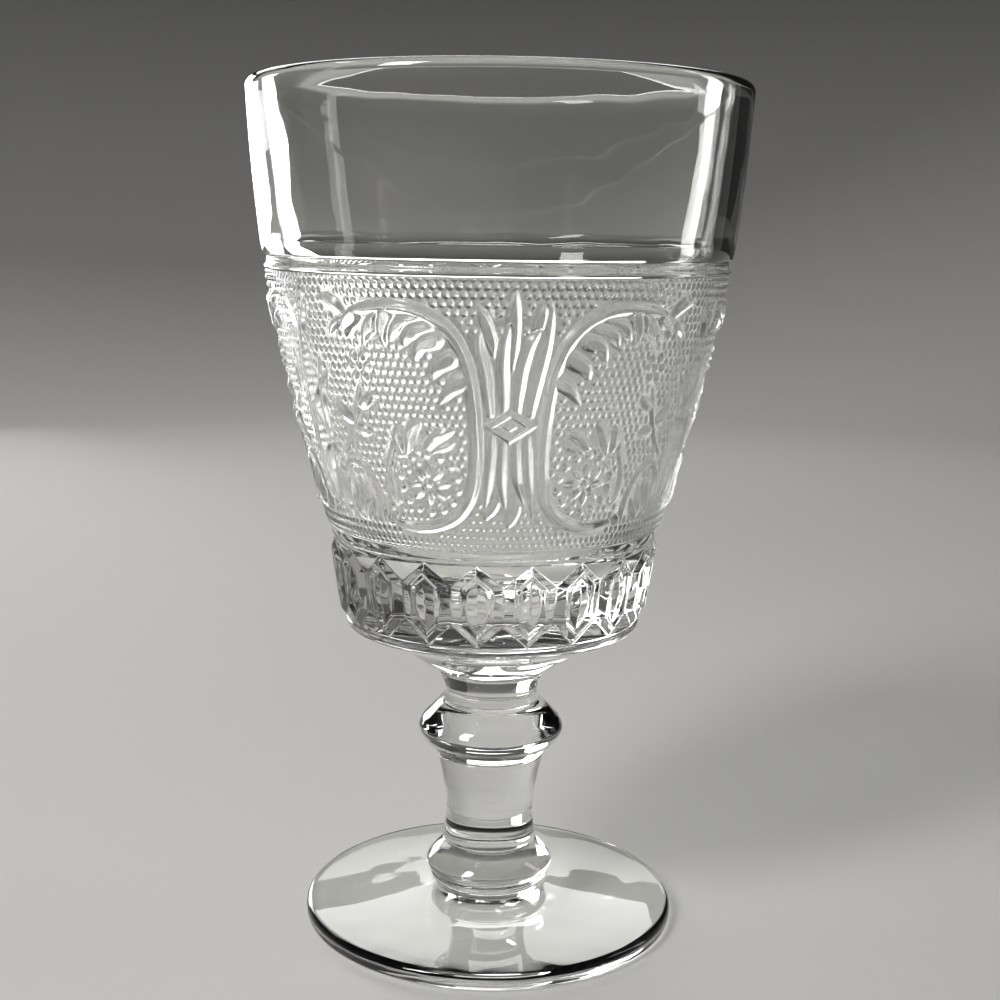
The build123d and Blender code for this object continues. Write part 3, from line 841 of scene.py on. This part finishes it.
def make_bowl():
    """One skin: underside, diamonds, ledge, core of the lacy band, mouldings, rim, lip, inside and cup."""
    underside = through(
        [(NECK_TOP_RADIUS, NECK_TOP), (UNDERSIDE_MIDDLE_RADIUS, NECK_TOP + UNDERSIDE_MIDDLE_UP),
         (DIAMOND_LOW_RADIUS - UNDERSIDE_EDGE_IN, DIAMOND_Z - UNDERSIDE_EDGE_DROP)], 14
    )
    corner = rounded(
        [underside[-1],
         (DIAMOND_LOW_RADIUS, DIAMOND_Z),
         (DIAMOND_LOW_RADIUS + CORNER_BULGE, DIAMOND_Z + CORNER_HEIGHT),
         (DIAMOND_LOW_RADIUS - SEAM, DIAMOND_Z + DIAMOND_MARGIN - SEAM)],
        [0, UNDERSIDE_ROUND, CREASE, 0], 7,
    )
    ledge = rounded(
        [(DIAMOND_TOP_RADIUS - DIAMOND_SINK - SEAM, LEDGE_Z - LEDGE_FOOT_DROP),
         (DIAMOND_TOP_RADIUS + SEAM, LEDGE_Z - LEDGE_EDGE_DROP),
         (DIAMOND_TOP_RADIUS + LEDGE_BULGE, BAND_Z - LEDGE_STEP),
         (BAND_LOW_RADIUS, BAND_Z)], CREASE, 4
    )
    core_height = np.linspace(BAND_Z, BEAD_Z, CORE_ROWS + 1)
    core = np.stack([band_radius(core_height) - BAND_CORE, core_height], -1)
    moulding = rounded(
        [(BAND_TOP_RADIUS, BEAD_Z),
         (BAND_TOP_RADIUS + BEAD, BEAD_Z + BEAD),
         (BAND_TOP_RADIUS + BEAD, GROOVE_Z - GROOVE),
         (BAND_TOP_RADIUS + BEAD - GROOVE, GROOVE_Z),
         (BAND_TOP_RADIUS + BEAD - GROOVE, PLAIN_Z),
         (PLAIN_RADIUS, PLAIN_Z + GROOVE)], CREASE, 4
    )
    plain = bowed((PLAIN_RADIUS, PLAIN_Z + GROOVE), (RIM_RADIUS, LIP_Z), PLAIN_SWELL, 14)
    turn = np.linspace(0, np.pi, 13)
    lip_radius = RIM_WALL / 2
    lip_middle = RIM_RADIUS - lip_radius
    lip = np.stack([lip_middle + lip_radius * np.cos(turn), LIP_Z + lip_radius * np.sin(turn)], -1)
    inside_low = (DIAMOND_TOP_RADIUS - LEDGE_WALL, LEDGE_Z)
    inside = bowed((RIM_RADIUS - RIM_WALL, LIP_Z), inside_low, INSIDE_SWELL, 22)
    down = inside[-1] - inside[-2]
    below_wall = inside[-1] + CUP_BEND * down / np.hypot(*down)
    cup = held([inside_low, below_wall, (CUP_FLAT, FLOOR_Z), (0, FLOOR_Z)], 15)[:-1]
    skin = Skin()
    below = skin.patch(lathe(np.vstack([underside, corner[1:]]), PLAIN_COLUMNS))
    cap(skin, below[0], underside[0], NECK_TOP, JOINT, below=True)
    grid, lift = diamond_band()
    diamonds = skin.patch(grid, GLASS, lift)
    skin.sew(below[-1], diamonds[0])
    shelf = skin.patch(lathe(ledge, PLAIN_COLUMNS))
    skin.sew(diamonds[-1], shelf[0])
    heart = skin.patch(lathe(core, PLAIN_COLUMNS), JOINT)
    skin.sew(shelf[-1], heart[0], JOINT)
    upper = skin.patch(lathe(np.vstack([moulding, plain[1:], lip[1:], inside[1:], cup[1:]]), PLAIN_COLUMNS))
    skin.sew(heart[-1], upper[0], JOINT)
    skin.sew(upper[-1], skin.patch(pole(FLOOR_Z))[0])
    dress(skin.piece("bowl", [bowl_glass, fused_joint]), "bowl")


def make_lacy_panels():
    """One panel for each third of the mould: relief outside, fused to the bowl's core and its neighbours."""
    height, degrees, lift = lacy_relief()
    ground = np.stack([band_radius(height), height], -1)
    slope = np.gradient(ground, axis=0)
    normal = np.stack([slope[:, 1], -slope[:, 0]], -1) / np.linalg.norm(slope, axis=1)[:, None]
    radius = ground[:, :1] + lift * normal[:, :1]
    level = ground[:, 1:] + lift * normal[:, 1:]
    core_height = np.linspace(BAND_Z, BEAD_Z, CORE_ROWS + 1)[:, None]
    core_degrees = np.linspace(degrees[0], degrees[-1], CORE_COLUMNS + 1)
    for panel in range(PANELS):
        middle = panel * 360 / PANELS
        skin = Skin()
        face = skin.patch(turned_grid(radius, level, degrees + middle), GLASS, lift, closed=False)
        back_grid = turned_grid(band_radius(core_height) - BAND_CORE, core_height, core_degrees + middle)
        back = skin.patch(back_grid, JOINT, closed=False, inward=True)
        skin.sew(back[0], face[0], JOINT)
        skin.sew(face[-1], back[-1], JOINT)
        skin.sew(face[:, 0], back[:, 0], JOINT)
        skin.sew(back[:, -1], face[:, -1], JOINT)
        dress(skin.piece(f"lacy_panel_{panel + 1}", [lace_glass, fused_joint]), "bowl")


make_foot()
make_base_collar()
make_shank()
make_knop()
make_neck()
make_bowl()
make_lacy_panels()


# Stage, light and camera

def make_stage():
    """Round studio: a flat disc, a quarter circle and an upright wall, carried round.

    It is pale below and greyer above, and lies a hair under the foot.
    """
    hub, disc, bend, wall, hair, fade_height = 0.15, 0.75, 0.3, 1.2, 0.0001, 0.35
    turn = np.linspace(-np.pi / 2, 0, 17)
    bend_run = np.stack([disc + bend * np.cos(turn), bend + bend * np.sin(turn)], -1)
    outline = np.vstack([straight((hub, 0), (disc, 0), 5), bend_run[1:], [(disc + bend, wall)]])
    outline[:, 1] -= hair
    skin = Skin()
    sheet = skin.patch(lathe(outline / MM, 96), inward=True)
    skin.sew(sheet[0], skin.patch(pole(outline[0, 1] / MM))[0])
    material = bpy.data.materials.new("studio_paint")
    material.use_nodes = True
    tree = material.node_tree
    place = tree.nodes.new("ShaderNodeTexCoord").outputs["Object"]
    height = node(tree, "ShaderNodeSeparateXYZ", Vector=place).outputs["Z"]
    share = node(tree, "ShaderNodeMapRange", Value=height, From_Max=fade_height).outputs["Result"]
    paint = tree.nodes.new("ShaderNodeMix")
    paint.data_type = "RGBA"
    tree.links.new(share, paint.inputs["Factor"])
    paint.inputs["A"].default_value = FLOOR_PAINT
    paint.inputs["B"].default_value = WALL_PAINT
    shader = tree.nodes["Principled BSDF"]
    tree.links.new(paint.outputs["Result"], shader.inputs["Base Color"])
    shader.inputs["Roughness"].default_value = MATT
    shader.inputs["Specular IOR Level"].default_value = 0.1
    skin.piece("studio_floor", [material])


def facing(place, aim):
    """Turn of a lamp or card at a place that faces a point."""
    return (Vector(aim) - Vector(place)).to_track_quat("-Z", "Y").to_euler()


def softbox(name, place, aim, size, power, spread=180):
    """Large rectangular lamp that faces a point, with a grid in front where its spread is narrow."""
    lamp = bpy.data.lights.new(name, "AREA")
    lamp.shape = "RECTANGLE"
    lamp.size, lamp.size_y = size
    lamp.energy = power
    lamp.spread = np.radians(spread)
    made = bpy.data.objects.new(name, lamp)
    made.location = place
    made.rotation_euler = facing(place, aim)
    made.visible_camera = False
    bpy.context.scene.collection.objects.link(made)


def dark_flag(name, place, aim, size):
    """Dark card beside the view, which gives the glass its dark edges; the camera looks past it."""
    half_width, half_height = size[0] / 2, size[1] / 2
    corners = np.array([(-1, -1, 0), (1, -1, 0), (1, 1, 0), (-1, 1, 0)]) * (half_width, half_height, 0)
    mesh = bpy.data.meshes.new(name)
    mesh.from_pydata(corners.tolist(), [], [(0, 1, 2, 3)])
    material = bpy.data.materials.new(name)
    material.use_nodes = True
    shader = material.node_tree.nodes["Principled BSDF"]
    shader.inputs["Base Color"].default_value = FLAG_PAINT
    shader.inputs["Roughness"].default_value = MATT
    mesh.materials.append(material)
    made = bpy.data.objects.new(name, mesh)
    made.location = place
    made.rotation_euler = facing(place, aim)
    made.visible_camera = False
    made.visible_shadow = False
    made.visible_diffuse = False
    bpy.context.scene.collection.objects.link(made)


def make_light():
    """Soft key at the upper left, dim panel behind on the left, strip on the right, one over the back."""
    middle = (0, 0, 0.08)
    softbox("key_softbox", (-0.50, -0.42, 0.60), middle, size=(0.20, 0.42), power=5.0)
    softbox("back_left_panel", (-0.36, 0.66, 0.18), middle, size=(0.25, 0.32), power=0.26, spread=60)
    softbox("right_strip", (0.66, 0.10, 0.34), middle, size=(0.10, 0.55), power=0.5)
    softbox("top_softbox", (-0.10, 0.70, 0.52), middle, size=(0.80, 0.25), power=2.2)
    dark_flag("right_flag", (0.42, 0.50, 0.20), aim=(0, 0, 0.10), size=(0.36, 0.60))
    world = bpy.data.worlds.new("dim_room")
    world.use_nodes = True
    back = world.node_tree.nodes["Background"]
    back.inputs["Color"].default_value = ROOM_COLOUR
    bpy.context.scene.world = world


def make_camera():
    """Camera at the photograph's viewing angle: near, just under the rim, a little to the sheaf's left."""
    distance, height, pitch, turn, roll = 270.9, 126.9, 10.13, -3.8, 0.84
    focal, frame_pixels, axis_pixel = 1510.0, 1000.0, 493.9
    camera = bpy.data.cameras.new("photo_camera")
    camera.sensor_width = 36.0
    camera.lens = camera.sensor_width * focal / frame_pixels
    camera.shift_x = 0.5 - axis_pixel / frame_pixels
    camera.clip_start = 0.01
    made = bpy.data.objects.new("photo_camera", camera)
    round_axis = Matrix.Rotation(np.radians(turn), 4, "Z")
    tilt = Matrix.Rotation(np.radians(90 - pitch), 4, "X")
    lean = Matrix.Rotation(np.radians(roll), 4, "Z")
    made.matrix_world = round_axis @ Matrix.Translation((0, -distance * MM, height * MM)) @ tilt @ lean
    bpy.context.scene.collection.objects.link(made)
    bpy.context.scene.camera = made


make_stage()
make_light()
make_camera()
scene = bpy.context.scene
scene.view_settings.view_transform = "Standard"
scene.cycles.max_bounces = GLASS_BOUNCES
scene.cycles.transmission_bounces = GLASS_BOUNCES
scene.cycles.transparent_max_bounces = 2 * GLASS_BOUNCES
